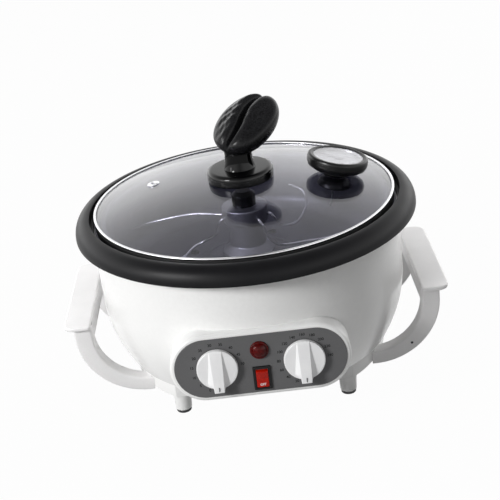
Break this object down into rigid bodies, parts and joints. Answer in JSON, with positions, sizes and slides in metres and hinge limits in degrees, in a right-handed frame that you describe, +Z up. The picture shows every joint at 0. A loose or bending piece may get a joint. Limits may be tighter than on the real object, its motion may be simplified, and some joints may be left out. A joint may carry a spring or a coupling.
{
  "type": "home coffee bean roaster",
  "caption": "Round white countertop coffee bean roaster with a lift-off glass lid, bean-shaped lid knob, lid thermometer, wire stirrer, front controls and side handles.",
  "frame": {"origin": "on the table, under the middle of the object's box", "axes": "+Z up, -Y towards the front with the controls, +X to the right-hand side of a user facing the front"},
  "size_m": [0.345, 0.3154, 0.2584],
  "materials": {
    "shell_paint": "glossy white enamel on steel",
    "base_plastic": "glossy white moulding",
    "handle_plastic": "glossy white moulding",
    "knob_plastic": "glossy white moulding",
    "screw_steel": "zinc-plated screw steel",
    "pan_screw_steel": "darkened steel",
    "foot_rubber": "matt black rubber",
    "gasket_rubber": "black silicone rubber",
    "ring_plastic": "satin black heat-proof moulding",
    "pan_coating": "dark grey non-stick coating",
    "inner_steel": "galvanised sheet and turned steel",
    "element_sheath": "heat-browned steel sheath",
    "cream_plastic": "cream thermoset",
    "shaft_steel": "ground steel rod",
    "bush_brass": "turned bearing brass",
    "label_grey": "satin mid-grey faceplate",
    "lamp_red": "deep red lamp cap",
    "switch_black": "satin black switch frame",
    "rocker_red": "translucent red-orange rocker",
    "hub_metal": "satin turned aluminium",
    "cap_black": "black moulded nut",
    "wire_steel": "polished stainless wire",
    "lid_glass": "slightly grey-tinted clear glass",
    "band_steel": "polished stainless edge band",
    "knob_base_black": "satin black disc",
    "stem_gloss": "glossy black heat-proof moulding",
    "bean_black": "charcoal moulding with fine creases",
    "gauge_black": "matt black case",
    "dial_face": "silvery white dial",
    "needle_grey": "grey painted pointer",
    "lens_glass": "clear flat glass"
  },
  "bodies": {
    "base": {"outer_shell": "shell_paint", "base_shell": "base_plastic", "base_screws": "screw_steel", "legs": "base_plastic", "leg_screws": "screw_steel", "rubber_feet": "foot_rubber", "rim_ring": "ring_plastic", "roasting_pan": "pan_coating", "pan_gasket": "gasket_rubber", "pan_screws": "pan_screw_steel", "pan_posts": "inner_steel", "cable_gland": "ring_plastic", "gland_nut": "ring_plastic", "left_handle_frame": "handle_plastic", "right_handle_frame": "handle_plastic", "left_grip": "handle_plastic", "right_grip": "handle_plastic", "handle_screws": "screw_steel", "grip_screws": "screw_steel", "chassis_plate": "inner_steel", "heat_shield": "inner_steel", "heating_element": "element_sheath", "element_brackets": "inner_steel", "thermal_fuse": "inner_steel", "terminal_block": "cream_plastic", "gear_motor": "inner_steel", "motor_screws": "screw_steel", "shaft_bush": "bush_brass", "control_housing": "base_plastic", "control_label": "label_grey", "timer_body": "cream_plastic", "thermostat_body": "cream_plastic", "control_nuts": "screw_steel", "lamp_body": "lamp_red", "lamp_lens": "lamp_red", "switch_frame": "switch_black"},
    "lid": {"glass_dome": "lid_glass", "lid_band": "band_steel", "lid_gasket": "gasket_rubber", "vent_grommet": "wire_steel", "knob_base": "knob_base_black", "knob_stem": "stem_gloss", "bean_knob": "bean_black", "knob_screw": "screw_steel", "thermometer_neck": "stem_gloss", "thermometer_case": "gauge_black", "thermometer_dial": "dial_face", "thermometer_lens": "lens_glass", "thermometer_probe": "shaft_steel", "thermometer_nut": "cap_black"},
    "needle": {"thermometer_needle": "needle_grey"},
    "stirrer": {"drive_shaft": "shaft_steel", "stirrer_hub": "hub_metal", "stirrer_cap": "cap_black", "stirrer_wires": "wire_steel"},
    "timer_control": {"timer_knob": "knob_plastic", "timer_shaft": "shaft_steel"},
    "temperature_control": {"temperature_knob": "knob_plastic", "thermostat_shaft": "shaft_steel"},
    "rocker": {"switch_rocker": "rocker_red"}
  },
  "joints": [
    {"name": "lid_lift", "type": "slide", "parent": "base", "child": "lid", "axis": [0, 0, 1], "range_m": [0, 0.12]},
    {"name": "needle_turn", "type": "hinge", "parent": "lid", "child": "needle", "pos_m": [0.08828, 0.00269, 0.19409], "axis": [-0.213, 0, -0.977], "range_deg": [0, 270]},
    {"name": "stirrer_spin", "type": "hinge", "parent": "base", "child": "stirrer", "pos_m": [0, 0.00269, 0.13], "axis": [0, 0, 1], "continuous": true},
    {"name": "timer_turn", "type": "hinge", "parent": "base", "child": "timer_control", "pos_m": [-0.036, -0.14531, 0.0795], "axis": [0, 0.9945, -0.1045], "range_deg": [0, 300]},
    {"name": "temperature_turn", "type": "hinge", "parent": "base", "child": "temperature_control", "pos_m": [0.036, -0.14531, 0.0795], "axis": [0, 0.9945, -0.1045], "range_deg": [0, 270]},
    {"name": "rocker_rock", "type": "hinge", "parent": "base", "child": "rocker", "pos_m": [0, -0.14588, 0.06649], "axis": [-1, 0, 0], "range_deg": [0, 18]}
  ]
}
